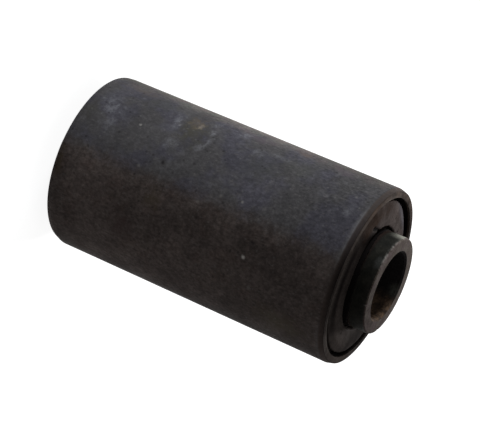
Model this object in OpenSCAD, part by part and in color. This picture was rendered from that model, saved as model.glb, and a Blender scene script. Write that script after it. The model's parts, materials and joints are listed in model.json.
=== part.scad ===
// Leaf spring bushing: a steel outer sleeve pressed into the spring eye, a moulded rubber
// bush bonded inside it, and a thick steel inner sleeve that the bolt clamps end to end.
// It stands on the end of the inner sleeve, with the bolt axis along +Z.

/* [Outer sleeve] */
// Outside diameter, a press fit in the spring eye
sleeve_od = 38.1; // [34:0.1:50]
// Wall thickness of the outer sleeve
sleeve_wall = 1.7; // [1.2:0.1:3]
// Length of the outer sleeve, about the width of the spring
sleeve_length = 66; // [40:0.5:120]
// Length of the tapered lead-in at each end
lead_in_length = 1.2; // [0.5:0.1:3]
// Drop of the lead-in below the outside diameter, on the radius
lead_in_drop = 0.45; // [0.1:0.05:0.6]
// Bevel on the bore edge of the outer sleeve
sleeve_bevel = 0.25; // [0.1:0.05:0.5]

/* [Inner sleeve] */
// Outside diameter of the inner sleeve
tube_od = 20.7; // [18:0.1:26]
// Diameter of the bolt bore
bolt_bore = 14.5; // [10:0.1:17]
// How far the inner sleeve stands out of the outer sleeve at each end
tube_projection = 4.5; // [2:0.1:10]
// Round on the outer edge of each end face
tube_round = 0.25; // [0.2:0.05:0.8]
// Bevel on the bore edge of each end face
bore_bevel = 0.4; // [0.2:0.05:0.8]

/* [Rubber bush] */
// Depth of the rubber face below the end of the outer sleeve
face_recess = 0.1; // [0:0.1:2]
// Width of the relief channel along the outer sleeve
channel_width = 1; // [0.6:0.1:1.6]
// Depth of the relief channel below the rubber face
channel_depth = 2.6; // [1.2:0.1:5]
// Width of the shoulder that falls from the rubber face to the relief channel
shoulder_width = 1.6; // [0.6:0.1:2.4]
// Fall of the shoulder below the rubber face
shoulder_drop = 0.45; // [0.1:0.05:0.8]
// Width of the groove along the inner sleeve
groove_width = 0.7; // [0.5:0.05:1.2]
// Depth of the groove below the rubber face
groove_depth = 1.8; // [1:0.1:4]
// Round of the rubber face into the groove
lip_round = 0.4; // [0.2:0.05:0.8]
// Round at the foot of the channel and of the groove
root_round = 0.35; // [0.1:0.05:0.45]

/* [Hidden] */
$fn = 144;
sleeve_radius = sleeve_od / 2;
seat_radius = sleeve_radius - sleeve_wall;
tube_radius = tube_od / 2;
bore_radius = bolt_bore / 2;
sleeve_half = sleeve_length / 2;
tube_half = sleeve_half + tube_projection;
rubber_half = sleeve_half - face_recess;
land_outer = seat_radius - channel_width;
land_inner = tube_radius + groove_width;
overcut = 1;

// Turns a section, drawn about the middle of the part, round the bolt axis
module turned() {
    translate([0, 0, tube_half])
        rotate_extrude()
            children();
}

// Section of a plain tube, half_length each side of the middle
module tube_section(inner, outer, half_length) {
    translate([inner, -half_length])
        square([outer - inner, 2 * half_length]);
}

// Repeats the end cuts of a section at the other end
module both_ends() {
    children();
    mirror([0, 1])
        children();
}

// Cuts for a corner at the origin, with its material towards -X and -Y
module bevel_cut(across, along) {
    polygon([[-2 * across, along], [across, -2 * along], [across, along]]);
}

module round_cut(radius) {
    translate([-radius, -radius])
        difference() {
            square(radius + overcut);
            circle(radius);
        }
}

// Slot open at the top, its wall at X = 0 rounded into its floor
module slot_cut(width, depth) {
    difference() {
        translate([0, -depth])
            square([width, depth + overcut]);
        translate([0, -depth])
            rotate(180)
                round_cut(root_round);
    }
}

module outer_sleeve() {
    color("#403c3b")
        turned()
            difference() {
                tube_section(seat_radius, sleeve_radius, sleeve_half);
                both_ends() {
                    translate([sleeve_radius, sleeve_half])
                        bevel_cut(lead_in_drop, lead_in_length);
                    translate([seat_radius, sleeve_half])
                        mirror([1, 0])
                            bevel_cut(sleeve_bevel, sleeve_bevel);
                }
            }
}

// The rubber fills the space between the sleeves. Each end is a land between a relief channel,
// to which it falls in a shoulder, and a groove: both give the rubber room to swell when twisted.
module rubber_bush() {
    color("#39332f")
        turned()
            difference() {
                tube_section(tube_radius, seat_radius, rubber_half);
                both_ends() {
                    translate([land_outer, rubber_half]) {
                        slot_cut(channel_width, channel_depth);
                        bevel_cut(shoulder_width, shoulder_drop);
                    }
                    translate([land_inner, rubber_half])
                        mirror([1, 0]) {
                            slot_cut(groove_width, groove_depth);
                            round_cut(lip_round);
                        }
                }
            }
}

module inner_sleeve() {
    color("#4a423e")
        turned()
            difference() {
                tube_section(bore_radius, tube_radius, tube_half);
                both_ends() {
                    translate([tube_radius, tube_half])
                        round_cut(tube_round);
                    translate([bore_radius, tube_half])
                        mirror([1, 0])
                            bevel_cut(bore_bevel, bore_bevel);
                }
            }
}

outer_sleeve();
rubber_bush();
inner_sleeve();
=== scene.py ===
"""Looks of a leaf spring bushing: blackened outer sleeve, moulded rubber, rusty inner sleeve.

The bushing stands on the lower end of its inner sleeve, bolt axis along +Z, in metres.
A turn round the axis is counted in degrees from the side that faces the camera (-Y) towards +X.
The photograph shows the face of the upper end.
"""
import json
import math
from typing import NamedTuple

import bmesh
import bpy
from mathutils import Matrix, Vector, noise


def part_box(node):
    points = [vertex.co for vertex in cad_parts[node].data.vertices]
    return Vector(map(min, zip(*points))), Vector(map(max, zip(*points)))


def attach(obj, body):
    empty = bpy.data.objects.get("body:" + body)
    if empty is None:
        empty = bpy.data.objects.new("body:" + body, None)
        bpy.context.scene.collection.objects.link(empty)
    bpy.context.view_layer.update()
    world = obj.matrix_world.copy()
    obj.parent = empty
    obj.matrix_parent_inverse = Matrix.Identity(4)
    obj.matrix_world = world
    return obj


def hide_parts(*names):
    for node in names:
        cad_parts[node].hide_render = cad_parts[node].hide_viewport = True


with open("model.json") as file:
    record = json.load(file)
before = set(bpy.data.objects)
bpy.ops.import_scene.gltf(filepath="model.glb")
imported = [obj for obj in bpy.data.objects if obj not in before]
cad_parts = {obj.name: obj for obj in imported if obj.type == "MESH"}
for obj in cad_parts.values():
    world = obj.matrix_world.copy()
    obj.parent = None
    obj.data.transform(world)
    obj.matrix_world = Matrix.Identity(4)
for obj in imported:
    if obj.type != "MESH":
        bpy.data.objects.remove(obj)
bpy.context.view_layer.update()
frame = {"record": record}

MM = 0.001

# Sizes that the solids give
_, sleeve_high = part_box("outer_sleeve")
_, rubber_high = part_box("rubber_bush")
tube_low, tube_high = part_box("inner_sleeve")
bolt_bore = next(mount for mount in frame["record"]["mounts"] if mount["name"] == "bolt_bore")
SLEEVE_RADIUS = sleeve_high.x
SEAT_RADIUS = rubber_high.x
TUBE_RADIUS = tube_high.x
BORE_RADIUS = bolt_bore["dims"]["r_mm"] * MM
MIDDLE = (tube_low.z + tube_high.z) / 2
SLEEVE_HALF = sleeve_high.z - MIDDLE
RUBBER_HALF = rubber_high.z - MIDDLE
TUBE_HALF = tube_high.z - MIDDLE
SLEEVE_TOP = MIDDLE + SLEEVE_HALF
RUBBER_TOP = MIDDLE + RUBBER_HALF
TUBE_TOP = MIDDLE + TUBE_HALF

# Small sections of the pieces, as in the solids
LEAD_IN_LENGTH = 1.2 * MM
LEAD_IN_DROP = 0.45 * MM
SLEEVE_BEVEL = 0.25 * MM
TUBE_ROUND = 0.25 * MM
BORE_BEVEL = 0.4 * MM
CHANNEL_WIDTH = 1.0 * MM
CHANNEL_DEPTH = 2.6 * MM
SHOULDER_WIDTH = 1.6 * MM
SHOULDER_DROP = 0.45 * MM
GROOVE_WIDTH = 0.7 * MM
GROOVE_DEPTH = 1.8 * MM
LIP_ROUND = 0.4 * MM
ROOT_ROUND = 0.35 * MM
LAND_OUTER = SEAT_RADIUS - CHANNEL_WIDTH
LAND_INNER = TUBE_RADIUS + GROOVE_WIDTH

# Softened edges, which the solids have sharp
LEAD_EDGE_ROUND = 0.24 * MM
RIM_EDGE_ROUND = 0.12 * MM
SEAT_EDGE_ROUND = 0.06 * MM
BORE_EDGE_ROUND = 0.08 * MM
SHOULDER_HEAD_ROUND = 2 * MM
SHOULDER_FOOT_ROUND = 0.3 * MM

# Mesh density: segments round, points on an edge's round, and spacing along a section. The seat and
# the outside of the inner sleeve are fine to these depths from their ends, past what can be seen.
SEGMENTS = 480
ARC_POINTS = 5
FINE = 0.25 * MM
MEDIUM = 0.7 * MM
COARSE = 6 * MM
EDGE_HOLD = 0.05 * MM
SEAT_SEEN = 4 * MM
TUBE_SEEN = 9 * MM

# Camera, fitted to the outline in the photograph, in pixels of its frame
IMAGE_WIDTH = 480
IMAGE_HEIGHT = 440
FOCAL_PX = 1805.3
SENSOR_MM = 36.0
VIEW_ELEVATION = math.radians(21.706)
VIEW_ROLL = math.radians(23.350)
END_CENTRE_PX = (369.1, 277.9)
END_CENTRE_DEPTH = 19.0394 * SLEEVE_RADIUS
CLIP_START = 0.01


def make_camera():
    """The photograph lays the bushing on its side, so the camera is rolled to see it that way."""
    forward = Vector((0, math.cos(VIEW_ELEVATION), -math.sin(VIEW_ELEVATION)))
    level_up = Vector((0, math.sin(VIEW_ELEVATION), math.cos(VIEW_ELEVATION)))
    side = Vector((1, 0, 0))
    right = level_up * math.cos(VIEW_ROLL) - side * math.sin(VIEW_ROLL)
    down = level_up * math.sin(VIEW_ROLL) + side * math.cos(VIEW_ROLL)
    across = (END_CENTRE_PX[0] - IMAGE_WIDTH / 2) / FOCAL_PX
    below = (END_CENTRE_PX[1] - IMAGE_HEIGHT / 2) / FOCAL_PX
    end_centre = Vector((0, 0, SLEEVE_TOP))
    eye = end_centre - END_CENTRE_DEPTH * (forward + across * right + below * down)
    lens = bpy.data.cameras.new("camera")
    lens.sensor_fit = "HORIZONTAL"
    lens.sensor_width = SENSOR_MM
    lens.lens = FOCAL_PX / IMAGE_WIDTH * SENSOR_MM
    lens.clip_start = CLIP_START
    camera = bpy.data.objects.new("camera", lens)
    axes = Matrix((right, -down, -forward)).transposed()
    camera.matrix_world = Matrix.Translation(eye) @ axes.to_4x4()
    bpy.context.scene.collection.objects.link(camera)
    bpy.context.scene.camera = camera


class Corner(NamedTuple):
    """A corner of a section. The spacing and the zone hold from it up to the next corner."""
    radius: float
    height: float
    rounding: float = 0.0
    spacing: float = FINE
    zone: int = 0


class Stretch(NamedTuple):
    """A stretch of the way round: its middle and its reach to each side in degrees, and its strength."""
    turn: float
    reach: float
    strength: float = 1.0


def place(turn, radius, height):
    """The point at a turn, in radians."""
    return Vector((radius * math.sin(turn), -radius * math.cos(turn), height))


def uneven(point, size, octaves=3):
    """Smooth noise between about -1 and 1, with bumps of the given size."""
    return noise.fractal(point / size, 1.0, 2.0, octaves)


def near(distance, reach):
    """1 at no distance, falling smoothly to 0 at the reach."""
    share = min(abs(distance) / reach, 1.0)
    return 1 - share * share * (3 - 2 * share)


def off_turn(turn, degrees):
    """Degrees from a turn given in degrees, the short way round."""
    return math.degrees(math.remainder(turn - math.radians(degrees), 2 * math.pi))


def about(turn, stretch):
    """The strength of a stretch at its middle, falling smoothly to 0 at its reach."""
    return stretch.strength * near(off_turn(turn, stretch.turn), stretch.reach)


def strongest(turn, stretches):
    return max(about(turn, stretch) for stretch in stretches)


def unit(vector):
    return vector / vector.length


def arc(before, corner, after, radius):
    """Points of the round that replaces a corner."""
    to_before = unit(before - corner)
    to_after = unit(after - corner)
    half = to_before.angle(to_after) / 2
    start = corner + to_before * (radius / math.tan(half))
    end = corner + to_after * (radius / math.tan(half))
    centre = corner + unit(to_before + to_after) * (radius / math.sin(half))
    swing = (start - centre).angle_signed(end - centre)
    points = []
    for step in range(ARC_POINTS + 1):
        spoke = start - centre
        spoke.rotate(Matrix.Rotation(-swing * (step / ARC_POINTS), 2))
        points.append(centre + spoke)
    return points


def divided(start, end, spacing):
    """Points after start up to end, with a close one at each end to hold the shading."""
    length = (end - start).length
    if length < 4 * EDGE_HOLD:
        return [end]
    inner = length - 2 * EDGE_HOLD
    count = max(1, round(inner / spacing))
    marks = [EDGE_HOLD + inner * k / count for k in range(count + 1)] + [length]
    return [start.lerp(end, mark / length) for mark in marks]


def outline(corners):
    """Closed outline of a section, as (radius, height, zone) points."""
    flat = [Vector((corner.radius, corner.height)) for corner in corners]
    rounds = []
    for k, corner in enumerate(corners):
        if corner.rounding:
            rounds.append(arc(flat[k - 1], flat[k], flat[(k + 1) % len(flat)], corner.rounding))
        else:
            rounds.append([flat[k]])
    points = []
    for k, corner in enumerate(corners):
        following = rounds[(k + 1) % len(rounds)]
        run = rounds[k][1:] + divided(rounds[k][-1], following[0], corner.spacing)
        points += [(point.x, point.y, corner.zone) for point in run]
    return points


def turned(name, corners, surface, materials):
    """A closed mesh turned from a section. surface(turn, radius, height) gives the point its small
    unevenness, as a new radius and height, how much it is paled, by rubbing, dust and painted highlight,
    and how much it is darkened, by blackening and painted shade, each from 0 to 1."""
    section = outline(corners)
    points = []
    wear_dust_and_highlight = []
    grime_and_shade = []
    for step in range(SEGMENTS):
        turn = 2 * math.pi * step / SEGMENTS
        for radius, height, _ in section:
            radius, height, brightening, darkening = surface(turn, radius, height)
            points.append(place(turn, radius, height))
            wear_dust_and_highlight.append(brightening)
            grime_and_shade.append(darkening)
    count = len(section)
    faces = []
    zones = []
    for step in range(SEGMENTS):
        here = step * count
        there = (step + 1) % SEGMENTS * count
        for k in range(count):
            after = (k + 1) % count
            faces.append((here + k, there + k, there + after, here + after))
            zones.append(section[after][2])
    mesh = bpy.data.meshes.new(name)
    mesh.from_pydata(points, [], faces)
    mesh.polygons.foreach_set("material_index", zones)
    mesh.polygons.foreach_set("use_smooth", [True] * len(faces))
    mesh.attributes.new("wear_dust_and_highlight", "FLOAT", "POINT").data.foreach_set("value", wear_dust_and_highlight)
    mesh.attributes.new("grime_and_shade", "FLOAT", "POINT").data.foreach_set("value", grime_and_shade)
    shape = bmesh.new()
    shape.from_mesh(mesh)
    bmesh.ops.recalc_face_normals(shape, faces=shape.faces)
    shape.to_mesh(mesh)
    shape.free()
    for material in materials:
        mesh.materials.append(material)
    piece = bpy.data.objects.new(name, mesh)
    bpy.context.scene.collection.objects.link(piece)
    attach(piece, "root")
    return piece


# The outside of the sleeve waves, only inwards, and the edge of its lead-in is nicked.
SLEEVE_WAVE = 0.012 * MM
SLEEVE_WAVE_SIZE = 7 * MM
SLEEVE_WAVE_CREST = 0.6
EDGE_NICK = 0.05 * MM
EDGE_NICK_SIZE = 1.1 * MM
EDGE_NICK_START = 0.12
# The lead-in is slighter on one side of the lower end and on the far side of the upper one.
LOWER_FILL = 0.35 * MM
LOWER_FILLED = Stretch(-70, 100)
UPPER_FILL = 0.14 * MM
UPPER_UNFILLED = Stretch(0, 150)
# The bore edge of the upper end is burred over, less so on its far side.
BURR = 0.32 * MM
BURR_REACH = 0.12 * MM
BURR_LESS = Stretch(-170, 95)
# Where the edges of the sleeve's upper end are rubbed bright and carry a painted highlight, and how much
# those of the lower end are rubbed bright
LEAD_EDGE_WEAR_AND_HIGHLIGHT = [Stretch(-22, 34), Stretch(58, 36, 0.4)]
BORE_EDGE_WEAR_AND_HIGHLIGHT = [Stretch(34, 50, 0.7), Stretch(-70, 34, 0.7)]
LOWER_LEAD_EDGE_WORN = 0.12
LOWER_BORE_EDGE_WORN = 0.3
# The lead-in of the upper end is blackened all round, and most near the camera.
LEAD_IN_BLACK = 0.32
LEAD_IN_BLACKER = [Stretch(12, 85, 0.52), Stretch(0, 28, 0.15)]
# The rim of the upper end is black near the camera, more on its outer part. It is shaded on two
# stretches of the far side, and along its inner part on another.
RIM_BLACKENED = Stretch(26, 86)
RIM_BLACK_INSIDE = 0.3
RIM_BLACK_OUTSIDE = 0.75
RIM_SHADED = [Stretch(-146, 44, 0.75), Stretch(140, 36, 0.75)]
RIM_INSIDE_SHADED = Stretch(-115, 38, 0.8)
LOWER_RIM_BLACK = 0.3
# How far the marks reach from the edges that they lie along. A fullness below 1 keeps a mark
# strong until close to its reach.
OUTSIDE_REACH = 0.3 * MM
LEAD_EDGE_REACH = 0.26 * MM
LEAD_IN_SPILL = 0.12 * MM
LEAD_IN_FULLNESS = 0.3
BORE_EDGE_REACH = 0.3 * MM
RIM_REACH = 0.4 * MM
RIM_INSIDE_REACH = 0.6 * MM
# The seat wall is painted black below its bevel, as shade in the recess behind the rubber.
SEAT_REACH = 0.1 * MM
SEAT_FADE = 0.15 * MM
# Zones of the outer sleeve, in the order of its materials
OUTSIDE = 0
RIM = 1


def upper_rim_black(turn, from_seat):
    outer_part = 1 - near(max(from_seat - SLEEVE_BEVEL, 0.0), RIM_INSIDE_REACH)
    black = RIM_BLACK_INSIDE + (RIM_BLACK_OUTSIDE - RIM_BLACK_INSIDE) * outer_part
    return max(
        black * about(turn, RIM_BLACKENED),
        strongest(turn, RIM_SHADED),
        (1 - outer_part) * about(turn, RIM_INSIDE_SHADED),
    )


def sleeve_surface(turn, radius, height):
    point = place(turn, radius, height)
    from_end = SLEEVE_HALF - abs(height - MIDDLE)
    from_seat = radius - SEAT_RADIUS
    outside = near(max(SLEEVE_RADIUS - LEAD_IN_DROP - radius, 0.0), OUTSIDE_REACH)
    lead_edge = outside * near(from_end - LEAD_IN_LENGTH, LEAD_EDGE_REACH)
    lead_in = outside * near(from_end, LEAD_IN_LENGTH + LEAD_IN_SPILL) ** LEAD_IN_FULLNESS
    bore_edge = near(from_seat - 0.5 * SLEEVE_BEVEL, BORE_EDGE_REACH) * near(from_end, RIM_REACH)
    bevel_top = near(from_seat - SLEEVE_BEVEL, BURR_REACH) * near(from_end, BURR_REACH)
    rim = (1 - outside) * near(from_end, RIM_REACH)
    # Painted shade: black down the seat wall below the bevel
    seat_shade = near(from_seat, SEAT_REACH) * (1 - near(max(from_end - SLEEVE_BEVEL, 0.0), SEAT_FADE))
    if height > MIDDLE:
        lead_edge_bright = strongest(turn, LEAD_EDGE_WEAR_AND_HIGHLIGHT)
        bore_edge_bright = strongest(turn, BORE_EDGE_WEAR_AND_HIGHLIGHT)
        lead_in_black = LEAD_IN_BLACK + sum(about(turn, stretch) for stretch in LEAD_IN_BLACKER)
        rim_black = upper_rim_black(turn, from_seat)
        fill = UPPER_FILL * (1 - about(turn, UPPER_UNFILLED))
        burr = BURR * (1 - about(turn, BURR_LESS))
    else:
        lead_edge_bright = LOWER_LEAD_EDGE_WORN
        bore_edge_bright = LOWER_BORE_EDGE_WORN
        lead_in_black = 0.0
        rim_black = LOWER_RIM_BLACK
        fill = LOWER_FILL * about(turn, LOWER_FILLED)
        burr = 0.0
    radius -= burr * bevel_top
    radius += outside * fill * max(1 - from_end / LEAD_IN_LENGTH, 0.0)
    radius += outside * SLEEVE_WAVE * min(uneven(point, SLEEVE_WAVE_SIZE) - SLEEVE_WAVE_CREST, 0.0)
    radius -= lead_edge * EDGE_NICK * max(uneven(point, EDGE_NICK_SIZE) - EDGE_NICK_START, 0.0)
    wear_dust_and_highlight = max(lead_edge * lead_edge_bright, bore_edge * bore_edge_bright)
    grime_and_shade = max(lead_in * lead_in_black, rim * rim_black, seat_shade)
    return radius, height, wear_dust_and_highlight, grime_and_shade


def make_outer_sleeve(materials):
    top = SLEEVE_TOP
    bottom = MIDDLE - SLEEVE_HALF
    lead_radius = SLEEVE_RADIUS - LEAD_IN_DROP
    bevel_radius = SEAT_RADIUS + SLEEVE_BEVEL
    corners = [
        Corner(SEAT_RADIUS, bottom + SLEEVE_BEVEL, 0, FINE, RIM),
        Corner(bevel_radius, bottom, SEAT_EDGE_ROUND, FINE, RIM),
        Corner(lead_radius, bottom, RIM_EDGE_ROUND, FINE, OUTSIDE),
        Corner(SLEEVE_RADIUS, bottom + LEAD_IN_LENGTH, LEAD_EDGE_ROUND, MEDIUM, OUTSIDE),
        Corner(SLEEVE_RADIUS, top - LEAD_IN_LENGTH, LEAD_EDGE_ROUND, FINE, OUTSIDE),
        Corner(lead_radius, top, RIM_EDGE_ROUND, FINE, RIM),
        Corner(bevel_radius, top, SEAT_EDGE_ROUND, FINE, RIM),
        Corner(SEAT_RADIUS, top - SLEEVE_BEVEL, 0, FINE, RIM),
        Corner(SEAT_RADIUS, top - SEAT_SEEN, 0, COARSE, RIM),
        Corner(SEAT_RADIUS, bottom + SEAT_SEEN, 0, FINE, RIM),
    ]
    piece = turned("outer_sleeve_looks", corners, sleeve_surface, materials)
    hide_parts("outer_sleeve")


# The rubber has set a little unevenly, so its upper face leans down towards -X, and its lower face
# leans half as much. Both are wavy, and held where the rubber is bonded to the sleeves.
FACE_LEAN = 0.026
LOWER_LEAN = 0.013
FACE_LIFT = 0.225 * MM
FACE_WAVE = 0.05 * MM
FACE_WAVE_SIZE = 2.2 * MM
FACE_DEPTH = 3 * MM
LOOSE_REACH = 3.4 * MM
LOOSE_FULLNESS = 0.2
# A thin black skin of rubber climbs the inner sleeve, highest near the camera.
SKIN = 0.12 * MM
SKIN_LIMIT = TUBE_RADIUS + 1.2 * SKIN
SKIN_TOP = 0.3 * MM
SKIN_CLIMB = 0.95 * MM
SKIN_CLIMBS = Stretch(20, 95)
LOWER_SKIN_CLIMBS = 0.5
SKIN_RAGGED = 0.15 * MM
SKIN_RAG_SIZE = 1.1 * MM
GROOVE_FOOT = RUBBER_HALF - GROOVE_DEPTH
# The lip of the land is ragged, and near the camera it stands up.
EDGE_DEPTH = 1.2 * MM
LIP_REACH = 0.5 * MM
LIP_RAGGED = 0.16 * MM
LIP_RAG_SIZE = 1.3 * MM
LIP_RISE = 0.3 * MM
LIP_RISES = Stretch(4, 45)
LIP_RISE_REACH = 1.8 * MM
# Near the camera the shoulder bulges towards the sleeve, and on the far side of the upper end it
# sinks. Dust lies along it, and thinly on the land.
SHOULDER_REACH = 1.3 * MM
SHOULDER_BULGE = 0.5 * MM
SHOULDER_BULGES = Stretch(-4, 100, 1.7)
SHOULDER_SINK = 0.28 * MM
SHOULDER_SINKS = Stretch(-122, 42)
SHOULDER_DUST = Stretch(18, 72, 0.9)
LAND_DUST = Stretch(62, 40, 0.3)
# A ring of painted shade lies at the head of the shoulder. Beside a short tear the land is darkened with
# painted shade.
SHADE_RING_RADIUS = 14.95 * MM
SHADE_RING_LEAN = 0.055
SHADE_RING_REACH = 1.2 * MM
SHADE_RING = Stretch(20, 78, 0.85)
LOWER_SHADE_RING = 0.34
SHADE_PATCH_RADIUS = 11.2 * MM
SHADE_PATCH_REACH = 2.6 * MM
SHADE_PATCH = Stretch(-36, 26, 0.8)
# The channel and the groove are black below this depth.
SHADE_DEPTH = 0.75 * MM
SHADE_SPREAD = 1.1
# Pits in the land of the upper end, as (turn in degrees, radius in mm, reach in mm, depth in mm).
# The first eight run together as the tear. A pit as deep as BLACK_PIT is painted black, as shade in it.
LAND_PITS = [
    (-45.5, 12.9, 0.7, 0.5),
    (-47.0, 12.65, 0.65, 0.5),
    (-48.5, 12.35, 0.6, 0.5),
    (-50.0, 12.1, 0.6, 0.5),
    (-52.0, 11.85, 0.6, 0.5),
    (-54.0, 11.6, 0.55, 0.45),
    (-56.0, 11.35, 0.5, 0.4),
    (-58.0, 11.15, 0.5, 0.4),
    (-96.0, 13.2, 0.4, 0.15),
    (-118.0, 12.4, 0.45, 0.2),
    (72.0, 13.0, 0.5, 0.15),
]
BLACK_PIT = 0.25 * MM


def pit_depth(point):
    """Depth of the deepest pit of the upper land at a point."""
    deepest = 0.0
    for turn, radius, reach, depth in LAND_PITS:
        middle = place(math.radians(turn), radius * MM, point.z)
        deepest = max(deepest, depth * MM * near((point - middle).length, reach * MM))
    return deepest


def rubber_surface(turn, radius, height):
    point = place(turn, radius, height)
    upper = height > MIDDLE
    outwards = 1 if upper else -1
    from_middle = abs(height - MIDDLE)
    below_face = RUBBER_HALF - from_middle
    if radius < SKIN_LIMIT:
        climb = SKIN_CLIMB * (about(turn, SKIN_CLIMBS) if upper else LOWER_SKIN_CLIMBS)
        climb += SKIN_RAGGED * uneven(point, SKIN_RAG_SIZE)
        share = (from_middle - GROOVE_FOOT) / (RUBBER_HALF + SKIN_TOP - GROOVE_FOOT)
        return radius, height + outwards * max(share, 0.0) * climb, 0.0, 1.0

    shade = 0.0
    if below_face > SHADE_DEPTH:
        in_channel = near(radius - SEAT_RADIUS, SHADE_SPREAD * CHANNEL_WIDTH)
        in_groove = near(radius - TUBE_RADIUS, SHADE_SPREAD * GROOVE_WIDTH)
        shade = max(in_channel, in_groove)
    lip = near(radius - LAND_INNER, LIP_REACH) * near(below_face, EDGE_DEPTH)
    shoulder = near(radius - LAND_OUTER, SHOULDER_REACH) * near(below_face, EDGE_DEPTH)
    dust = max(about(turn, SHOULDER_DUST) * shoulder, about(turn, LAND_DUST))
    # Painted shade: a dark ring at the head of the shoulder
    shade_ring = near(radius - SHADE_RING_RADIUS - SHADE_RING_LEAN * point.x, SHADE_RING_REACH)
    darkening = shade_ring * (about(turn, SHADE_RING) if upper else LOWER_SHADE_RING)

    face = near(below_face, FACE_DEPTH)
    loose = near(radius - (TUBE_RADIUS + SEAT_RADIUS) / 2, LOOSE_REACH) ** LOOSE_FULLNESS
    rise = FACE_LIFT + (FACE_LEAN * point.x if upper else LOWER_LEAN * point.y)
    rise += FACE_WAVE * uneven(point, FACE_WAVE_SIZE)
    pit = 0.0
    if upper and face > 0.5:
        rise += LIP_RISE * about(turn, LIP_RISES) * near(radius - LAND_INNER, LIP_RISE_REACH)
        # Painted shade beside the tear
        darkening = max(darkening, about(turn, SHADE_PATCH) * near(radius - SHADE_PATCH_RADIUS, SHADE_PATCH_REACH))
        pit = pit_depth(point)
    height += outwards * face * loose * (rise - pit)
    radius += LIP_RAGGED * lip * uneven(point, LIP_RAG_SIZE)
    if upper:
        radius += SHOULDER_BULGE * shoulder * min(about(turn, SHOULDER_BULGES), 1.0)
        height -= SHOULDER_SINK * shoulder * about(turn, SHOULDER_SINKS)
    return radius, height, dust, max(shade, darkening, min(pit / BLACK_PIT, 1.0))


def make_rubber_bush(materials):
    corners = []
    for outwards in (1, -1):
        face = MIDDLE + outwards * RUBBER_HALF
        groove = face - outwards * GROOVE_DEPTH
        channel = face - outwards * CHANNEL_DEPTH
        skin_top = face + outwards * SKIN_TOP
        end = [
            Corner(TUBE_RADIUS, skin_top, 0, COARSE),
            Corner(TUBE_RADIUS + SKIN, skin_top - outwards * SKIN, 0.5 * SKIN),
            Corner(TUBE_RADIUS + SKIN, groove),
            Corner(LAND_INNER, groove, ROOT_ROUND),
            Corner(LAND_INNER, face, LIP_ROUND),
            Corner(LAND_OUTER - SHOULDER_WIDTH, face, SHOULDER_HEAD_ROUND),
            Corner(LAND_OUTER, face - outwards * SHOULDER_DROP, SHOULDER_FOOT_ROUND),
            Corner(LAND_OUTER, channel, ROOT_ROUND),
            Corner(SEAT_RADIUS, channel, 0, COARSE),
        ]
        corners += end if outwards > 0 else end[::-1]
    piece = turned("rubber_bush_looks", corners, rubber_surface, materials)
    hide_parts("rubber_bush")


# The edge of each end of the inner sleeve is rough and flaked. On the upper end one stretch is worn,
# and there are chips, as (turn in degrees, width in mm).
TUBE_OUTSIDE_REACH = 0.5 * MM
TUBE_EDGE_DEPTH = 0.2 * MM
TUBE_EDGE_REACH = 0.45 * MM
TUBE_EDGE_ROUGH = 0.03 * MM
TUBE_EDGE_ROUGH_SIZE = 0.9 * MM
FLAKE_SIZE = 0.8 * MM
FLAKE_CONTRAST = 1.6
TUBE_EDGE_WORN = 0.06
TUBE_EDGE_MORE_WORN = Stretch(-33, 38, 0.8)
LOWER_TUBE_EDGE_WORN = 0.15
# The chips at -93 and -73 degrees are pale spots that stand in for a painted highlight at the end of the
# crest.
CHIPS_AND_HIGHLIGHTS = [(-93, 0.8), (-73, 1.3), (-39, 0.7), (-29, 0.45), (-18, 0.7), (31, 0.4), (118, 0.9), (171, 0.7)]
CHIP_WORN = 0.8
CHIP_DEPTH = 0.12 * MM
CHIP_DROP = 0.06 * MM
# Zones of the inner sleeve, in the order of its materials
TUBE_OUTSIDE = 0
TUBE_END = 1
TUBE_BORE = 2


def tube_surface(turn, radius, height):
    point = place(turn, radius, height)
    from_end = TUBE_HALF - abs(height - MIDDLE)
    outside = near(radius - TUBE_RADIUS, TUBE_OUTSIDE_REACH)
    edge = outside * near(from_end - TUBE_EDGE_DEPTH, TUBE_EDGE_REACH)
    chip = 0.0
    edge_worn = LOWER_TUBE_EDGE_WORN
    if edge and height > MIDDLE:
        edge_worn = TUBE_EDGE_WORN + about(turn, TUBE_EDGE_MORE_WORN)
        for chip_turn, width in CHIPS_AND_HIGHLIGHTS:
            away = math.radians(off_turn(turn, chip_turn)) * TUBE_RADIUS
            chip = max(chip, near(away, width * MM))
    flaked = min(max(0.5 + FLAKE_CONTRAST * uneven(point, FLAKE_SIZE), 0.0), 1.0)
    radius += edge * TUBE_EDGE_ROUGH * (uneven(point, TUBE_EDGE_ROUGH_SIZE) - 1)
    radius -= edge * chip * CHIP_DEPTH
    height -= math.copysign(edge * chip * CHIP_DROP, height - MIDDLE)
    return radius, height, edge * flaked * max(CHIP_WORN * chip, edge_worn), 0.0


def make_inner_sleeve(materials):
    top = TUBE_TOP
    bottom = MIDDLE - TUBE_HALF
    bevel_radius = BORE_RADIUS + BORE_BEVEL
    corners = [
        Corner(TUBE_RADIUS, top - TUBE_SEEN, 0, FINE, TUBE_OUTSIDE),
        Corner(TUBE_RADIUS, top, TUBE_ROUND, FINE, TUBE_END),
        Corner(bevel_radius, top, BORE_EDGE_ROUND, FINE, TUBE_BORE),
        Corner(BORE_RADIUS, top - BORE_BEVEL, BORE_EDGE_ROUND, COARSE, TUBE_BORE),
        Corner(BORE_RADIUS, bottom + BORE_BEVEL, BORE_EDGE_ROUND, FINE, TUBE_BORE),
        Corner(bevel_radius, bottom, BORE_EDGE_ROUND, FINE, TUBE_END),
        Corner(TUBE_RADIUS, bottom, TUBE_ROUND, FINE, TUBE_OUTSIDE),
        Corner(TUBE_RADIUS, bottom + TUBE_SEEN, 0, COARSE, TUBE_OUTSIDE),
    ]
    piece = turned("inner_sleeve_looks", corners, tube_surface, materials)
    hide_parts("inner_sleeve")


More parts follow.
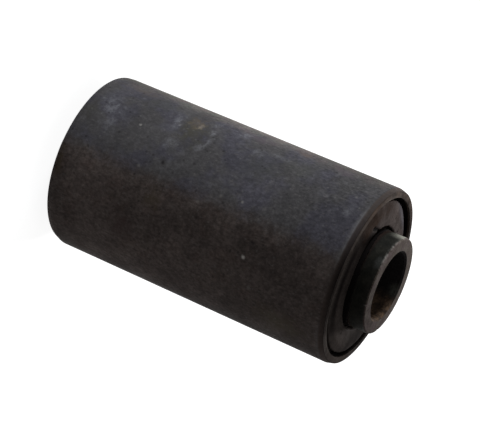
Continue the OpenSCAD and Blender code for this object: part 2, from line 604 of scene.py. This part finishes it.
# How far a patch reaches through the surface that it lies on
PATCH_DEPTH = 3 * MM
# Noise this far to each side of its middle covers most of its spread
NOISE_SPREAD = 0.2


def in_metres(reach):
    """A reach round and along, given in mm."""
    return tuple(length * MM for length in reach)


class Look:
    """A procedural material in object coordinates, with short names for its nodes."""

    def __init__(self, name, specular):
        self.material = bpy.data.materials.new(name)
        self.material.use_nodes = True
        self.tree = self.material.node_tree
        self.shader = self.tree.nodes["Principled BSDF"]
        self.shader.inputs["Specular IOR Level"].default_value = specular
        self.position = self.tree.nodes.new("ShaderNodeTexCoord").outputs["Object"]

    def feed(self, socket, value):
        if isinstance(value, bpy.types.NodeSocket):
            self.tree.links.new(value, socket)
        else:
            socket.default_value = value

    def maths(self, operation, first, second):
        node = self.tree.nodes.new("ShaderNodeMath")
        node.operation = operation
        self.feed(node.inputs[0], first)
        self.feed(node.inputs[1], second)
        return node.outputs[0]

    def plus(self, first, second):
        return self.maths("ADD", first, second)

    def times(self, first, second):
        return self.maths("MULTIPLY", first, second)

    def vector(self, operation, first, second):
        node = self.tree.nodes.new("ShaderNodeVectorMath")
        node.operation = operation
        self.feed(node.inputs[0], first)
        self.feed(node.inputs[1], second)
        return node.outputs["Value" if operation in ("DOT_PRODUCT", "LENGTH") else "Vector"]

    def ramp(self, value, low, high, start=0.0, end=1.0):
        """start below low, end above high, and smooth between."""
        node = self.tree.nodes.new("ShaderNodeMapRange")
        node.interpolation_type = "SMOOTHSTEP"
        for name, number in (("From Min", low), ("From Max", high), ("To Min", start), ("To Max", end)):
            node.inputs[name].default_value = number
        self.feed(node.inputs["Value"], value)
        return node.outputs["Result"]

    def mix(self, share, first, second):
        """The first colour where the share is 0 and the second where it is 1."""
        node = self.tree.nodes.new("ShaderNodeMix")
        node.data_type = "RGBA"
        for index, value in ((0, share), (6, first), (7, second)):
            self.feed(node.inputs[index], (*value, 1) if isinstance(value, tuple) else value)
        return node.outputs[2]

    def scaled(self, colour, factor):
        node = self.tree.nodes.new("ShaderNodeVectorMath")
        node.operation = "SCALE"
        self.feed(node.inputs[0], colour)
        self.feed(node.inputs["Scale"], factor)
        return node.outputs[0]

    def given(self, name):
        """An attribute of the mesh."""
        node = self.tree.nodes.new("ShaderNodeAttribute")
        node.attribute_name = name
        return node.outputs["Fac"]

    def noise(self, size, detail=4.0, roughness=0.6, seed=0.0, stretch=(1, 1, 1)):
        """Noise from about 0 to 1 with features of the given size."""
        node = self.tree.nodes.new("ShaderNodeTexNoise")
        node.noise_dimensions = "4D"
        node.inputs["W"].default_value = seed
        node.inputs["Scale"].default_value = 1 / size
        node.inputs["Detail"].default_value = detail
        node.inputs["Roughness"].default_value = roughness
        self.feed(node.inputs["Vector"], self.vector("MULTIPLY", self.position, stretch))
        return node.outputs[0]

    def by_noise(self, value, start, end):
        """start where the noise is low, and end where it is high."""
        return self.ramp(value, 0.5 - NOISE_SPREAD, 0.5 + NOISE_SPREAD, start, end)

    def grained(self, colour, value, amount, spread):
        """The colour, darker by the amount where the noise is low and paler where it is high."""
        return self.scaled(colour, self.ramp(value, 0.5 - spread, 0.5 + spread, 1 - amount, 1 + amount))

    def rag(self, value, amount):
        """Noise about 0, to make the edge of a patch or a zone uneven."""
        return self.times(self.maths("SUBTRACT", value, 0.5), amount)

    def specks(self, size, share, seed, reach):
        """Round specks in a share of the cells of the given size."""
        node = self.tree.nodes.new("ShaderNodeTexVoronoi")
        node.inputs["Scale"].default_value = 1 / size
        self.feed(node.inputs["Vector"], self.vector("ADD", self.position, (seed, seed, seed)))
        speck = self.ramp(node.outputs["Distance"], 0.3 * reach, reach, 1.0, 0.0)
        split = self.tree.nodes.new("ShaderNodeSeparateColor")
        self.feed(split.inputs[0], node.outputs["Color"])
        chosen = self.maths("GREATER_THAN", split.outputs[0], 1 - share)
        return self.times(speck, chosen)

    def towards(self, turn):
        """How far a point lies from the axis towards a turn in degrees."""
        way = place(math.radians(turn), 1.0, 0.0)
        return self.vector("DOT_PRODUCT", self.position, tuple(way))

    def along(self, low, high, start, end):
        """start below the height low, end above the height high, and smooth between."""
        height = self.vector("DOT_PRODUCT", self.position, (0, 0, 1))
        return self.ramp(height, low, high, start, end)

    def patch(self, turn, radius, height, reach, strength, rag):
        """The strength at a point of the surface, falling raggedly to 0 past the reach round and along."""
        node = self.tree.nodes.new("ShaderNodeMapping")
        node.vector_type = "TEXTURE"
        self.feed(node.inputs["Vector"], self.position)
        node.inputs["Location"].default_value = place(math.radians(turn), radius, height)
        node.inputs["Rotation"].default_value = (0, 0, math.radians(turn))
        node.inputs["Scale"].default_value = (reach[0], PATCH_DEPTH, reach[1])
        away = self.vector("LENGTH", node.outputs[0], (0, 0, 0))
        return self.ramp(self.plus(away, rag), 0.0, 1.1, strength, 0.0)

    def finish(self, colour, roughness, height, depth):
        bump = self.tree.nodes.new("ShaderNodeBump")
        bump.inputs["Distance"].default_value = depth
        self.feed(bump.inputs["Height"], height)
        self.feed(self.shader.inputs["Base Color"], colour)
        self.feed(self.shader.inputs["Roughness"], roughness)
        self.feed(self.shader.inputs["Normal"], bump.outputs["Normal"])
        return self.material


BLACK = (0.005, 0.004, 0.004)

# Colours of the outside of the sleeve. Its upper side carries a painted bluish reflection and a painted
# pale highlight along its crest, and its lower side is brown.
BROWNS = ((0.058, 0.047, 0.044), (0.084, 0.068, 0.063))
RED_BROWN = (0.067, 0.050, 0.045)
REFLECTED_BLUE_GREYS = ((0.0568, 0.0536, 0.0556), (0.0530, 0.0503, 0.0604))
THIN_HAZE = (0.105, 0.103, 0.109)
CREST_HIGHLIGHT_BEIGE = (0.096, 0.087, 0.079)
CREST_HIGHLIGHT_PINK = (0.102, 0.083, 0.081)
CREST_HIGHLIGHT_GREEN = (0.087, 0.087, 0.079)
SCRATCH = (0.135, 0.122, 0.118)
FLECK = (0.16, 0.155, 0.15)
PIT = (0.016, 0.014, 0.014)
LEAD_IN_BROWN = (0.078, 0.058, 0.050)
SLEEVE_BARE_AND_HIGHLIGHT = (0.15, 0.143, 0.145)
# The colour is paler towards the lower end and darker at both ends, and the painted crest highlight is
# strongest in its middle: tones along the sleeve, as (from height, to height in mm, tone before, tone
# after)
TONES_ALONG = [(6, 12, 0.84, 1.0), (20, 42, 1.1, 0.97), (50, 62, 1.0, 0.89)]
CREST_HIGHLIGHT_TONES = [(8, 27, 0.75, 1.15), (40, 58, 1.0, 0.70)]
# Share of the grain that the side with the painted blue reflection lacks, more at the lower end, given in
# the same way
REFLECTION_SMOOTHNESS = (15, 55, 0.45, 0.15)
# Broad paler zones: turn in degrees, height in mm, reach round and along in mm, and how much paler
PALE_ZONES = [
    (13, 13.5, (10.0, 10.0), 0.38),
    (-20, 49.0, (14.0, 6.0), 0.22),
    (-57, 24.0, (5.0, 5.0), 0.15),
    (-56, 31.5, (5.0, 4.0), 0.22),
    (20, 67.0, (6.0, 4.0), 0.22),
]
# Stains, and pale wisps of haze: turn in degrees, height in mm, reach round and along in mm,
# strength and colour
STAINS = [
    (-44, 28.6, (5.0, 3.8), 0.75, (0.058, 0.054, 0.043)),
    (-53, 27.8, (2.8, 2.0), 0.50, (0.115, 0.088, 0.064)),
    (-50, 28.9, (1.1, 0.8), 0.55, (0.260, 0.215, 0.175)),
    (-58, 18.5, (3.0, 4.0), 0.35, (0.058, 0.059, 0.052)),
    (-37, 46.0, (4.6, 5.0), 0.40, (0.056, 0.056, 0.053)),
    (-50, 53.0, (4.0, 5.0), 0.35, (0.060, 0.060, 0.056)),
    (-32, 6.6, (4.0, 1.6), 0.50, (0.046, 0.043, 0.036)),
    (-64, 41.0, (2.6, 3.4), 0.55, (0.082, 0.066, 0.078)),
    (-66, 60.0, (2.6, 3.0), 0.50, (0.090, 0.072, 0.084)),
    (-68, 50.5, (2.0, 2.4), 0.50, (0.110, 0.082, 0.072)),
    (-64, 12.0, (2.6, 5.0), 0.45, (0.096, 0.078, 0.070)),
    (9, 28.2, (2.6, 2.6), 0.55, (0.070, 0.055, 0.036)),
    (33, 22.6, (4.4, 3.2), 0.55, (0.058, 0.040, 0.038)),
    (53, 60.5, (4.6, 8.0), 0.60, (0.074, 0.062, 0.047)),
    (10, 5.5, (3.6, 1.3), 0.65, (0.062, 0.045, 0.026)),
]
HAZE = (0.190, 0.188, 0.205)
PALE_HAZE = (0.27, 0.26, 0.25)
WISPS = [
    (-42, 8.9, (4.6, 3.0), 0.38, HAZE),
    (-34, 11.0, (3.4, 2.6), 0.40, HAZE),
    (-24, 11.4, (2.4, 2.0), 0.35, HAZE),
    (-52, 23.9, (2.6, 1.4), 0.42, HAZE),
    (-42, 24.4, (2.8, 1.4), 0.40, HAZE),
    (-45, 25.0, (1.0, 0.8), 0.60, PALE_HAZE),
    (-28, 26.4, (2.4, 1.8), 0.55, HAZE),
    (-57, 31.2, (2.2, 1.0), 0.40, HAZE),
    (-49, 32.2, (2.4, 1.0), 0.50, HAZE),
    (-41, 32.6, (2.4, 1.1), 0.55, HAZE),
    (-34, 31.8, (1.8, 1.2), 0.55, HAZE),
    (-60, 37.3, (2.4, 1.8), 0.55, HAZE),
    (-48, 42.8, (1.8, 1.5), 0.55, HAZE),
    (-52, 47.0, (1.0, 4.0), 0.35, HAZE),
    (-37, 59.6, (1.8, 1.6), 0.25, HAZE),
    (-33, 66.4, (2.2, 1.2), 0.45, HAZE),
]
# Single specks: turn in degrees, height in mm, size in mm and strength
DARK_SPECK = (0.014, 0.012, 0.013)
DARK_SPECKS = [
    (-14.5, 27.1, 0.6, 0.9),
    (16.0, 37.4, 1.0, 0.6),
    (8.5, 51.9, 1.1, 0.6),
    (27, 46.0, 0.8, 0.4),
]
PALE_SPECK = (0.38, 0.36, 0.34)
PALE_SPECKS = [
    (-32.3, 18.1, 0.4, 0.4),
    (18.5, 50.8, 0.55, 1.0),
    (-11.5, 46.3, 0.45, 0.45),
    (-10.0, 41.6, 0.5, 0.2),
    (-1.5, 37.6, 0.6, 0.2),
    (-7.5, 22.6, 0.6, 0.2),
    (36, 53.4, 0.6, 0.15),
    (-45, 65.8, 0.5, 0.15),
]


def toned(look, colour, tones):
    """The colour with tones along the sleeve."""
    for low, high, before, after in tones:
        colour = look.scaled(colour, look.along(low * MM, high * MM, before, after))
    return colour


def with_crest_highlight(look, colour, clouds, ragged_back):
    """Adds the painted pale highlight along the crest, which fades out on the back."""
    ragged = look.rag(look.noise(3 * MM, 4, 0.65, seed=9), 8 * MM)
    above = look.plus(look.plus(look.towards(-130), ragged), ragged_back)
    crest = look.ramp(above, 0.33 * SLEEVE_RADIUS, 0.66 * SLEEVE_RADIUS)
    behind = look.plus(look.towards(180), look.rag(clouds, 10 * MM))
    crest = look.times(crest, look.ramp(behind, 4 * MM, 14 * MM, 1.0, 0.0))
    hues = look.noise(2.6 * MM, 3, 0.6, seed=24)
    crest_highlight_colour = look.mix(look.ramp(hues, 0.48, 0.6), CREST_HIGHLIGHT_BEIGE, CREST_HIGHLIGHT_PINK)
    crest_highlight_colour = look.mix(look.ramp(hues, 0.3, 0.44, 0.9, 0.0), crest_highlight_colour, CREST_HIGHLIGHT_GREEN)
    return look.mix(crest, colour, toned(look, crest_highlight_colour, CREST_HIGHLIGHT_TONES))


def with_sleeve_marks(look, colour, mottle):
    """Adds scratches, stains, wisps and specks."""
    lines = look.noise(0.45 * MM, 2, 0.5, seed=33, stretch=(1, 1, 0.45))
    colour = look.mix(look.ramp(lines, 0.62, 0.72, 0, 0.3), colour, SCRATCH)
    rough_edge = look.rag(mottle, 3.0)
    for turn, height, reach, strength, mark in STAINS:
        share = look.patch(turn, SLEEVE_RADIUS, height * MM, in_metres(reach), strength, rough_edge)
        colour = look.mix(share, colour, mark)
    wispy = look.ramp(look.noise(1.4 * MM, 6, 0.75, seed=26), 0.4, 0.64, 0.1, 1.0)
    for turn, height, reach, strength, mark in WISPS:
        share = look.patch(turn, SLEEVE_RADIUS, height * MM, in_metres(reach), strength, rough_edge)
        colour = look.mix(look.times(share, wispy), colour, mark)
    flecks = look.specks(1.2 * MM, 0.4, seed=0.02, reach=0.28)
    colour = look.mix(look.times(flecks, 0.22), colour, FLECK)
    pits = look.specks(1.6 * MM, 0.3, seed=0.05, reach=0.25)
    colour = look.mix(look.times(pits, 0.5), colour, PIT)
    rough_edge = look.rag(mottle, 1.8)
    for specks, mark in ((DARK_SPECKS, DARK_SPECK), (PALE_SPECKS, PALE_SPECK)):
        for turn, height, size, strength in specks:
            reach = in_metres((size, size))
            share = look.patch(turn, SLEEVE_RADIUS, height * MM, reach, strength, rough_edge)
            colour = look.mix(share, colour, mark)
    return colour


def blackened_steel():
    look = Look("blackened steel", 0.015)
    clouds = look.noise(6 * MM, 5, 0.6)
    mottle = look.noise(1.5 * MM, 4, 0.7, seed=3)
    grain = look.noise(0.6 * MM, 3, 0.65, seed=4)
    streaks = look.noise(0.55 * MM, 3, 0.6, seed=6, stretch=(1, 1, 0.5))

    brown = look.mix(look.ramp(clouds, 0.32, 0.68), *BROWNS)
    tint = look.ramp(look.noise(4 * MM, 5, 0.6, seed=8), 0.5, 0.64, 0, 0.5)
    brown = look.mix(tint, brown, RED_BROWN)
    patches = look.ramp(look.noise(7 * MM, 4, 0.55, seed=7), 0.42, 0.58)
    # Painted reflection: the upper side is blue-grey, paler towards the lamps
    blue_reflection = look.mix(patches, *REFLECTED_BLUE_GREYS)
    blue_reflection = look.scaled(blue_reflection, look.ramp(look.towards(-75), 5 * MM, 17 * MM, 1.2, 0.93))
    ragged_back = look.rag(clouds, look.ramp(look.towards(180), 0, 10 * MM, 0, 24 * MM))
    border = look.plus(look.plus(look.towards(-95), look.rag(mottle, 6 * MM)), ragged_back)
    on_blue_reflection = look.ramp(border, -2.1 * MM, 2.1 * MM)
    colour = look.mix(on_blue_reflection, brown, blue_reflection)
    haze = look.ramp(look.noise(2.4 * MM, 6, 0.68, seed=21), 0.52, 0.72, 0, 0.3)
    colour = look.mix(look.times(on_blue_reflection, haze), colour, THIN_HAZE)
    # Painted highlight along the crest
    colour = with_crest_highlight(look, colour, clouds, ragged_back)

    colour = toned(look, colour, TONES_ALONG)
    for turn, height, reach, strength in PALE_ZONES:
        rough_edge = look.rag(clouds, 0.6)
        paler = look.patch(turn, SLEEVE_RADIUS, height * MM, in_metres(reach), strength, rough_edge)
        colour = look.scaled(colour, look.plus(paler, 1.0))
    # Painted shade: the lower edge darkens to about half
    low_side = look.ramp(look.towards(90), 0.88 * SLEEVE_RADIUS, 0.98 * SLEEVE_RADIUS, 1.0, 0.52)
    colour = look.scaled(colour, low_side)
    smooth = look.grained(colour, look.noise(13 * MM, 3, 0.5, seed=31), 0.12, 0.15)
    colour = look.grained(smooth, mottle, 0.16, 0.2)
    colour = look.grained(colour, grain, 0.22, 0.2)
    colour = look.grained(colour, streaks, 0.22, 0.2)
    low, high, before, after = REFLECTION_SMOOTHNESS
    smoothness = look.along(low * MM, high * MM, before, after)
    colour = look.mix(look.times(on_blue_reflection, smoothness), colour, smooth)
    colour = with_sleeve_marks(look, colour, mottle)

    lead_in_edge = SLEEVE_TOP - LEAD_IN_LENGTH
    lead_in = look.along(lead_in_edge, lead_in_edge + 0.3 * MM, 0, 0.6)
    colour = look.mix(lead_in, colour, LEAD_IN_BROWN)
    colour = look.mix(look.times(look.given("grime_and_shade"), 0.95), colour, BLACK)
    # Bare steel where rubbed, and a painted highlight along the lead edge
    wear_dust_and_highlight = look.times(look.given("wear_dust_and_highlight"), look.ramp(mottle, 0.3, 0.6, 0.3, 0.65))
    colour = look.mix(wear_dust_and_highlight, colour, SLEEVE_BARE_AND_HIGHLIGHT)
    return look.finish(colour, look.by_noise(clouds, 0.7, 0.58), look.plus(grain, mottle), 0.04 * MM)


# Colours of the rim of the sleeve, which is rusty towards its upper side in the photograph
RIM_DARKS = ((0.024, 0.019, 0.0165), (0.041, 0.033, 0.029))
RIM_RUST = (0.112, 0.084, 0.069)
RIM_BARE_AND_HIGHLIGHT = (0.15, 0.135, 0.125)
# Streaks of rust on the rim: turn in degrees, reach round and along in mm, strength and colour
RIM_STREAKS = [
    (-41, (3.6, 1.5), 0.8, (0.075, 0.046, 0.032)),
    (-120, (8.0, 2.0), 0.7, (0.056, 0.034, 0.025)),
]


def rim_steel():
    look = Look("rim steel", 0.008)
    clouds = look.noise(2.2 * MM, 5, 0.62, seed=1)
    grain = look.noise(0.4 * MM, 3, 0.6, seed=4)
    colour = look.mix(look.by_noise(clouds, 0.0, 1.0), *RIM_DARKS)
    rust = look.ramp(look.noise(2.5 * MM, 5, 0.6, seed=9), 0.42, 0.66, 0.2, 0.9)
    upper_side = look.ramp(look.towards(-85), 2 * MM, 15 * MM, 0.1, 1.0)
    colour = look.mix(look.times(rust, upper_side), colour, RIM_RUST)
    for turn, reach, strength, mark in RIM_STREAKS:
        radius = SLEEVE_RADIUS - LEAD_IN_DROP
        rough_edge = look.rag(clouds, 1.6)
        streak = look.patch(turn, radius, SLEEVE_TOP, in_metres(reach), strength, rough_edge)
        colour = look.mix(streak, colour, mark)
    colour = look.grained(colour, grain, 0.25, 0.25)
    # Black on the rim, and painted shade on stretches of the far rim and down the seat wall
    colour = look.mix(look.given("grime_and_shade"), colour, BLACK)
    # Bare steel where rubbed, and a painted highlight along the bore edge
    wear_dust_and_highlight = look.times(look.given("wear_dust_and_highlight"), look.ramp(clouds, 0.35, 0.6, 0.4, 0.9))
    colour = look.mix(wear_dust_and_highlight, colour, RIM_BARE_AND_HIGHLIGHT)
    return look.finish(colour, look.by_noise(clouds, 0.8, 0.65), grain, 0.03 * MM)


# Colours of the rubber: a shaded and a lit copy of its colour, painted paler on the side towards the lamps
# and darker away from them, and a painted bluish sheen along its shoulder
SHADED_RUBBER = ((0.0162, 0.0130, 0.0121), (0.0295, 0.0235, 0.0212))
LIT_RUBBER = ((0.044, 0.035, 0.032), (0.082, 0.065, 0.061))
DUST = (0.095, 0.080, 0.072)
SHEEN = (0.092, 0.088, 0.106)
SHEEN_TURN = -112
SHEEN_REACH = (10.0 * MM, 2.0 * MM)
# Marks on the land: brown, reddish, warm and dull; the reddish one at -40 degrees also darkens the land as
# painted shade. Each as turn in degrees, radius and reach round in mm, strength and colour
LAND_MARKS = [
    (-58, 15.35, 9.0, 1.3, (0.042, 0.0285, 0.0235)),
    # Reddish mark, partly painted shade
    (-40, 15.15, 4.6, 1.7, (0.026, 0.0145, 0.0095)),
    (-91, 14.4, 5.0, 0.4, (0.098, 0.076, 0.069)),
    (-113, 11.4, 5.0, 0.5, (0.038, 0.032, 0.029)),
]
LAND_MARK_HEIGHT = 3.0 * MM


def moulded_rubber():
    look = Look("moulded rubber", 0.006)
    clouds = look.noise(2.6 * MM, 5, 0.6, seed=2)
    grain = look.noise(0.35 * MM, 4, 0.65, seed=6)
    # Painted light: paler towards turn -100, the lamps' side
    lit_side = look.ramp(look.towards(-100), 2 * MM, 13 * MM)
    shaded_side = look.mix(look.by_noise(clouds, 0.0, 1.0), *SHADED_RUBBER)
    # Painted shade: darker towards turn 128
    shaded_side = look.scaled(shaded_side, look.ramp(look.towards(128), 9 * MM, 15 * MM, 1.0, 0.65))
    colour = look.mix(lit_side, shaded_side, look.mix(look.by_noise(clouds, 0.0, 1.0), *LIT_RUBBER))
    colour = look.mix(look.given("wear_dust_and_highlight"), colour, DUST)
    for turn, radius, reach, strength, mark in LAND_MARKS:
        rough_edge = look.rag(clouds, 1.3)
        reaches = (reach * MM, LAND_MARK_HEIGHT)
        share = look.patch(turn, radius * MM, RUBBER_TOP, reaches, strength, rough_edge)
        colour = look.mix(share, colour, mark)
    rough_edge = look.rag(clouds, 1.0)
    # Painted sheen: bluish along the shoulder on the far side
    sheen = look.patch(SHEEN_TURN, LAND_OUTER - 0.5 * MM, RUBBER_TOP, SHEEN_REACH, 0.8, rough_edge)
    on_shoulder = look.ramp(look.towards(SHEEN_TURN), LAND_OUTER - 3.2 * MM, LAND_OUTER - 1.2 * MM)
    colour = look.mix(look.times(sheen, on_shoulder), colour, SHEEN)
    colour = look.grained(colour, grain, 0.28, 0.25)
    # Black from painted shade in the channel, groove, pits and ring, and on the black skin
    colour = look.mix(look.given("grime_and_shade"), colour, BLACK)
    return look.finish(colour, look.by_noise(clouds, 0.8, 0.65), grain, 0.05 * MM)


# Colours of the inner sleeve. Its outside is black with a painted pale highlight along its crest, and
# brown at its foot.
TUBE_BLACKS = ((0.0070, 0.0070, 0.0060), (0.0150, 0.0140, 0.0115))
TUBE_CREST_HIGHLIGHT = (0.078, 0.075, 0.064)
TUBE_SCUFF = (0.048, 0.049, 0.047)
TUBE_FOOT = (0.0110, 0.0062, 0.0050)
TUBE_BARE_AND_HIGHLIGHT = (0.26, 0.245, 0.225)
# Its ends carry painted light and shade, paler towards turn -120 and darker towards turn 60, and are
# blotched.
END_SHADED = ((0.030, 0.020, 0.018), (0.058, 0.043, 0.039))
END_LIT = ((0.062, 0.047, 0.040), (0.094, 0.076, 0.067))
END_BEIGE = (0.072, 0.063, 0.049)
END_PINK = (0.078, 0.056, 0.058)
END_BARE_AND_HIGHLIGHT = (0.23, 0.20, 0.19)
# Its bore is black, and rusty on the low side.
BORE_BLACK = (0.014, 0.012, 0.012)
BORE_RUST = (0.105, 0.068, 0.045)
BORE_FLECK = (0.055, 0.055, 0.047)


def tube_outside():
    look = Look("tube outside", 0.02)
    clouds = look.noise(1.8 * MM, 5, 0.6, seed=7)
    grain = look.noise(0.4 * MM, 3, 0.6, seed=11)
    colour = look.mix(look.ramp(clouds, 0.35, 0.7), *TUBE_BLACKS)
    # Painted highlight along the crest, paler towards the end
    crest = look.ramp(look.towards(-90), 0.88 * TUBE_RADIUS, TUBE_RADIUS)
    highlight_rise = look.along(SLEEVE_TOP + 1.0 * MM, TUBE_TOP - 0.4 * MM, 0.15, 3.0)
    colour = look.mix(crest, colour, look.scaled(TUBE_CREST_HIGHLIGHT, highlight_rise))
    rough_edge = look.rag(clouds, 1.8)
    scuff = look.patch(-20, TUBE_RADIUS, TUBE_TOP - 0.9 * MM, (1.8 * MM, 1.0 * MM), 0.5, rough_edge)
    colour = look.mix(scuff, colour, TUBE_SCUFF)
    foot = look.along(SLEEVE_TOP + 0.6 * MM, SLEEVE_TOP + 1.4 * MM, 0.9, 0.0)
    colour = look.mix(foot, colour, TUBE_FOOT)
    colour = look.grained(colour, grain, 0.3, 0.25)
    # Bare metal at rubbed edges and chips, and a painted highlight at two of the chips
    colour = look.mix(look.given("wear_dust_and_highlight"), colour, TUBE_BARE_AND_HIGHLIGHT)
    return look.finish(colour, look.by_noise(clouds, 0.6, 0.45), grain, 0.03 * MM)


def tube_end():
    look = Look("tube end", 0.01)
    clouds = look.noise(2.4 * MM, 5, 0.62, seed=12)
    grain = look.noise(0.35 * MM, 3, 0.6, seed=13)
    dark = look.mix(look.by_noise(clouds, 0.0, 1.0), *END_SHADED)
    pale = look.mix(look.by_noise(clouds, 0.0, 1.0), *END_LIT)
    # Painted light and shade: paler towards turn -120
    colour = look.mix(look.ramp(look.towards(-120), -7 * MM, 7 * MM), dark, pale)
    beige = look.ramp(look.noise(1.6 * MM, 4, 0.6, seed=16), 0.45, 0.62, 0, 0.55)
    colour = look.mix(beige, colour, END_BEIGE)
    pink = look.ramp(look.noise(1.4 * MM, 3, 0.6, seed=17), 0.52, 0.64, 0, 0.6)
    colour = look.mix(pink, colour, END_PINK)
    # Painted shade: darker towards turn 60
    colour = look.scaled(colour, look.ramp(look.towards(60), 2 * MM, 9 * MM, 1.0, 0.75))
    colour = look.grained(colour, grain, 0.3, 0.25)
    # Bare metal at rubbed edges and chips, and a painted highlight at two of the chips
    colour = look.mix(look.given("wear_dust_and_highlight"), colour, END_BARE_AND_HIGHLIGHT)
    return look.finish(colour, look.by_noise(clouds, 0.7, 0.55), grain, 0.03 * MM)


def tube_bore():
    look = Look("tube bore", 0.01)
    clouds = look.noise(2.0 * MM, 5, 0.7, seed=14)
    grain = look.noise(0.5 * MM, 3, 0.6, seed=15)
    low_side = look.ramp(look.towards(120), 0.55 * BORE_RADIUS, 0.95 * BORE_RADIUS)
    rust = look.times(low_side, look.ramp(clouds, 0.4, 0.6, 0.25, 1.0))
    colour = look.mix(rust, BORE_BLACK, BORE_RUST)
    rough_edge = look.rag(clouds, 1.4)
    fleck = look.patch(177, BORE_RADIUS, TUBE_TOP - 1.1 * MM, (2.0 * MM, 1.2 * MM), 0.8, rough_edge)
    colour = look.mix(fleck, colour, BORE_FLECK)
    colour = look.grained(colour, grain, 0.4, 0.25)
    return look.finish(colour, look.by_noise(clouds, 0.65, 0.8), grain, 0.05 * MM)


# Stage: a pale floor that reads as white, and soft light from the side that is up in the photograph
WHITE = (1, 1, 1, 1)
FLOOR_RADIUS = 6.0
FLOOR_SEGMENTS = 96
FLOOR_COLOUR = (0.35, 0.35, 0.35, 1)
FLOOR_LIFT = 0.9
AMBIENT = 0.3
TARGET = Vector((0, 0, MIDDLE))


def shown_rays(tree):
    """1 for rays that show the backdrop: straight to the camera, by reflection or through glass."""
    path = tree.nodes.new("ShaderNodeLightPath")
    total = path.outputs["Is Camera Ray"]
    for name in ("Is Glossy Ray", "Is Transmission Ray"):
        larger = tree.nodes.new("ShaderNodeMath")
        larger.operation = "MAXIMUM"
        tree.links.new(total, larger.inputs[0])
        tree.links.new(path.outputs[name], larger.inputs[1])
        total = larger.outputs[0]
    return total


def floor_material():
    material = bpy.data.materials.new("pale floor")
    material.use_nodes = True
    tree = material.node_tree
    tree.nodes.remove(tree.nodes["Principled BSDF"])
    matte = tree.nodes.new("ShaderNodeBsdfDiffuse")
    matte.inputs["Color"].default_value = FLOOR_COLOUR
    glow = tree.nodes.new("ShaderNodeEmission")
    lift = tree.nodes.new("ShaderNodeMath")
    lift.operation = "MULTIPLY"
    tree.links.new(shown_rays(tree), lift.inputs[0])
    lift.inputs[1].default_value = FLOOR_LIFT
    tree.links.new(lift.outputs[0], glow.inputs["Strength"])
    both = tree.nodes.new("ShaderNodeAddShader")
    tree.links.new(matte.outputs[0], both.inputs[0])
    tree.links.new(glow.outputs[0], both.inputs[1])
    tree.links.new(both.outputs[0], tree.nodes["Material Output"].inputs["Surface"])
    return material


def make_floor():
    mesh = bpy.data.meshes.new("floor")
    shape = bmesh.new()
    bmesh.ops.create_circle(shape, cap_ends=True, segments=FLOOR_SEGMENTS, radius=FLOOR_RADIUS)
    shape.to_mesh(mesh)
    shape.free()
    mesh.materials.append(floor_material())
    floor = bpy.data.objects.new("floor", mesh)
    bpy.context.scene.collection.objects.link(floor)


def make_world():
    world = bpy.data.worlds.new("world")
    world.use_nodes = True
    bpy.context.scene.world = world
    tree = world.node_tree
    ambient = tree.nodes["Background"]
    ambient.inputs["Strength"].default_value = AMBIENT
    white = tree.nodes.new("ShaderNodeBackground")
    blend = tree.nodes.new("ShaderNodeMixShader")
    tree.links.new(shown_rays(tree), blend.inputs[0])
    tree.links.new(ambient.outputs[0], blend.inputs[1])
    tree.links.new(white.outputs[0], blend.inputs[2])
    tree.links.new(blend.outputs[0], tree.nodes["World Output"].inputs["Surface"])
    for background in (ambient, white):
        background.inputs["Color"].default_value = WHITE


def softbox(name, turn, elevation, distance, size, level, colour):
    """A lamp aimed at the part; a white surface that faces it renders at about the level."""
    turn = math.radians(turn)
    elevation = math.radians(elevation)
    lamp = bpy.data.lights.new(name, "AREA")
    lamp.shape = "RECTANGLE"
    lamp.size, lamp.size_y = size
    lamp.energy = level * (math.pi * distance) ** 2
    lamp.color = colour
    direction = place(turn, math.cos(elevation), math.sin(elevation))
    holder = bpy.data.objects.new(name, lamp)
    holder.location = TARGET + direction * distance
    holder.rotation_euler = direction.to_track_quat("Z", "Y").to_euler()
    bpy.context.scene.collection.objects.link(holder)


def make_lights():
    softbox(
        "key", turn=-84, elevation=5, distance=0.8,
        size=(0.4, 0.12), level=1.06, colour=(0.93, 0.98, 1.0),
    )
    softbox(
        "back", turn=-163, elevation=27, distance=0.8,
        size=(0.15, 0.15), level=0.8, colour=(1.0, 0.98, 0.97),
    )


make_camera()
make_outer_sleeve([blackened_steel(), rim_steel()])
make_rubber_bush([moulded_rubber()])
make_inner_sleeve([tube_outside(), tube_end(), tube_bore()])
make_floor()
make_world()
make_lights()
bpy.context.scene.view_settings.view_transform = "Standard"
